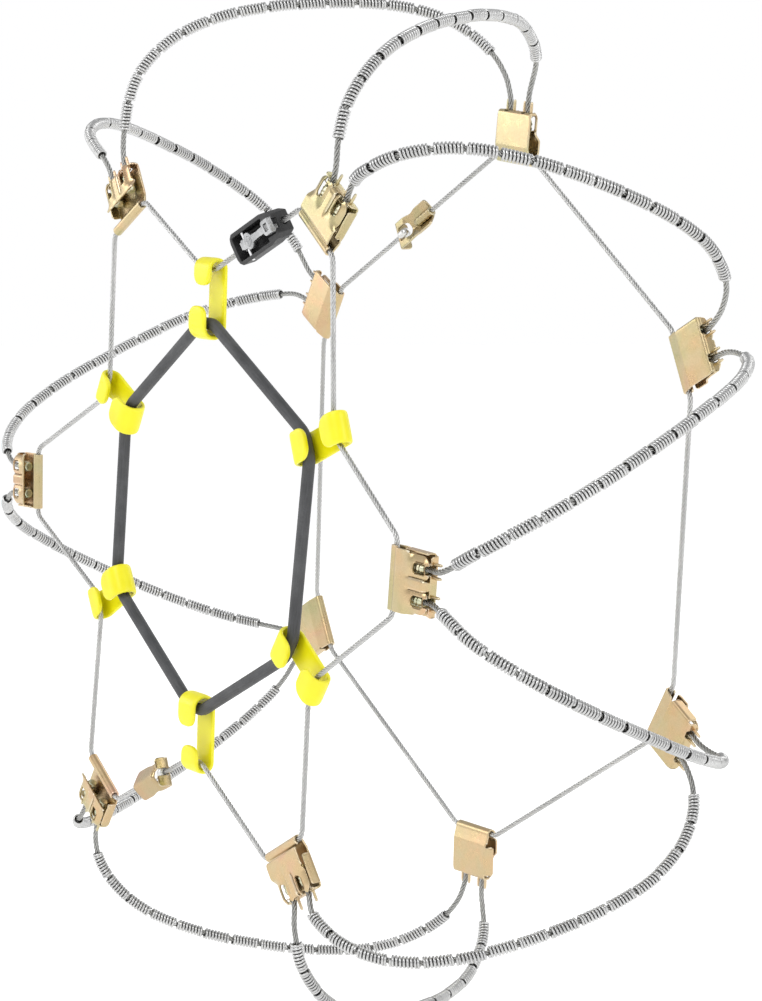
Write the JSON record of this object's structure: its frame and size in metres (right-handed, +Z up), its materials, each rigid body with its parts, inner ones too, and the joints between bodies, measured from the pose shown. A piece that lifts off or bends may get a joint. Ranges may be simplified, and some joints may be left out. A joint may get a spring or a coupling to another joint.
{
  "type": "tire snow chains",
  "caption": "Cable type tire snow chain for one road wheel: two side cables joined by coil-covered cross cables, with a lever latch and a rubber tension ring on hooks.",
  "frame": {"origin": "centre of the tyre space: on the wheel axis, half way between the two side cables", "axes": "+Y along the wheel axis towards the vehicle, so the outer side with the latch and the rubber ring faces -Y; +Z up; +X to the right of someone who looks at the outer side"},
  "size_m": [0.6496, 0.2356, 0.6511],
  "materials": {
    "side_cable": "satin",
    "cross_cable": "satin",
    "coil_steel": "polished",
    "bracket_zinc": "satin",
    "ferrule_zinc": "satin",
    "hook_yellow": "semi-gloss",
    "ring_rubber": "matt",
    "latch_black": "satin",
    "lever_zinc": "satin",
    "pin_steel": "polished",
    "stop_alloy": "satin",
    "plate_zinc": "satin",
    "button_steel": "satin"
  },
  "bodies": {
    "net": {"outer_cable_right": "side_cable", "outer_cable_left": "side_cable", "inner_side_cable": "side_cable", "outer_bracket_1": "bracket_zinc", "outer_bracket_2": "bracket_zinc", "outer_bracket_3": "bracket_zinc", "outer_bracket_4": "bracket_zinc", "outer_bracket_5": "bracket_zinc", "outer_bracket_6": "bracket_zinc", "inner_bracket_1": "bracket_zinc", "inner_bracket_2": "bracket_zinc", "inner_bracket_3": "bracket_zinc", "inner_bracket_4": "bracket_zinc", "inner_bracket_5": "bracket_zinc", "inner_bracket_6": "bracket_zinc", "outer_ferrules": "ferrule_zinc", "inner_ferrules": "ferrule_zinc", "cross_cable_1a": "cross_cable", "cross_cable_1b": "cross_cable", "cross_cable_2a": "cross_cable", "cross_cable_2b": "cross_cable", "cross_cable_3a": "cross_cable", "cross_cable_3b": "cross_cable", "cross_cable_4a": "cross_cable", "cross_cable_4b": "cross_cable", "cross_cable_5a": "cross_cable", "cross_cable_5b": "cross_cable", "cross_cable_6a": "cross_cable", "cross_cable_6b": "cross_cable", "traction_coils_1a": "coil_steel", "traction_coils_1b": "coil_steel", "traction_coils_2a": "coil_steel", "traction_coils_2b": "coil_steel", "traction_coils_3a": "coil_steel", "traction_coils_3b": "coil_steel", "traction_coils_4a": "coil_steel", "traction_coils_4b": "coil_steel", "traction_coils_5a": "coil_steel", "traction_coils_5b": "coil_steel", "traction_coils_6a": "coil_steel", "traction_coils_6b": "coil_steel", "latch_housing": "latch_black", "latch_pin": "pin_steel", "latch_cable_stop": "stop_alloy", "outer_button": "button_steel", "inner_button": "button_steel"},
    "lever": {"latch_lever": "lever_zinc"},
    "ring": {"tension_ring": "ring_rubber"},
    "hook_1": {"tension_hook_1": "hook_yellow"},
    "hook_2": {"tension_hook_2": "hook_yellow"},
    "hook_3": {"tension_hook_3": "hook_yellow"},
    "hook_4": {"tension_hook_4": "hook_yellow"},
    "hook_5": {"tension_hook_5": "hook_yellow"},
    "hook_6": {"tension_hook_6": "hook_yellow"},
    "outer_plate": {"outer_hook_plate": "plate_zinc"},
    "inner_plate": {"inner_hook_plate": "plate_zinc"}
  },
  "joints": [
    {"name": "latch_lever_hinge", "type": "hinge", "parent": "net", "child": "lever", "pos_m": [0.06553, -0.11319, 0.16248], "axis": [0.307, 0.2756, -0.9109], "range_deg": [0, 95]},
    {"name": "tension_ring_pull", "type": "slide", "parent": "net", "child": "ring", "axis": [0, -1, 0], "range_m": [0, 0.006], "stiffness_N_per_m": 1500},
    {"name": "tension_hook_1_tilt", "type": "hinge", "parent": "net", "child": "hook_1", "pos_m": [0.01039, -0.108, 0.14864], "axis": [-0.9976, 0, 0.0698], "range_deg": [0, 10]},
    {"name": "tension_hook_2_tilt", "type": "hinge", "parent": "net", "child": "hook_2", "pos_m": [0.1562, -0.108, 0.05317], "axis": [-0.3223, 0, 0.9466], "range_deg": [0, 10]},
    {"name": "tension_hook_3_tilt", "type": "hinge", "parent": "net", "child": "hook_3", "pos_m": [0.12914, -0.108, -0.09945], "axis": [0.6101, 0, 0.7923], "range_deg": [0, 10]},
    {"name": "tension_hook_4_tilt", "type": "hinge", "parent": "net", "child": "hook_4", "pos_m": [-0.01116, -0.108, -0.15961], "axis": [0.9976, 0, -0.0698], "range_deg": [0, 10]},
    {"name": "tension_hook_5_tilt", "type": "hinge", "parent": "net", "child": "hook_5", "pos_m": [-0.13883, -0.108, -0.06892], "axis": [0.4446, 0, -0.8957], "range_deg": [0, 10]},
    {"name": "tension_hook_6_tilt", "type": "hinge", "parent": "net", "child": "hook_6", "pos_m": [-0.12425, -0.108, 0.07377], "axis": [-0.5105, 0, -0.8599], "range_deg": [0, 10]},
    {"name": "outer_hook_plate_flex", "type": "hinge", "parent": "net", "child": "outer_plate", "pos_m": [-0.08679, -0.108, -0.18624], "axis": [-0.3718, 0, 0.9283], "range_deg": [0, 20], "stiffness_Nm_per_rad": 0.15},
    {"name": "inner_hook_plate_flex", "type": "hinge", "parent": "net", "child": "inner_plate", "pos_m": [-0.06225, 0.108, 0.19146], "axis": [-0.4067, 0, 0.9135], "range_deg": [0, 20], "stiffness_Nm_per_rad": 0.15}
  ],
  "couplings": [
    {"joint": "tension_hook_1_tilt", "follows": "tension_ring_pull", "rad_per_m": 28.9},
    {"joint": "tension_hook_2_tilt", "follows": "tension_ring_pull", "rad_per_m": 28.9},
    {"joint": "tension_hook_3_tilt", "follows": "tension_ring_pull", "rad_per_m": 28.9},
    {"joint": "tension_hook_4_tilt", "follows": "tension_ring_pull", "rad_per_m": 28.9},
    {"joint": "tension_hook_5_tilt", "follows": "tension_ring_pull", "rad_per_m": 28.9},
    {"joint": "tension_hook_6_tilt", "follows": "tension_ring_pull", "rad_per_m": 28.9}
  ]
}
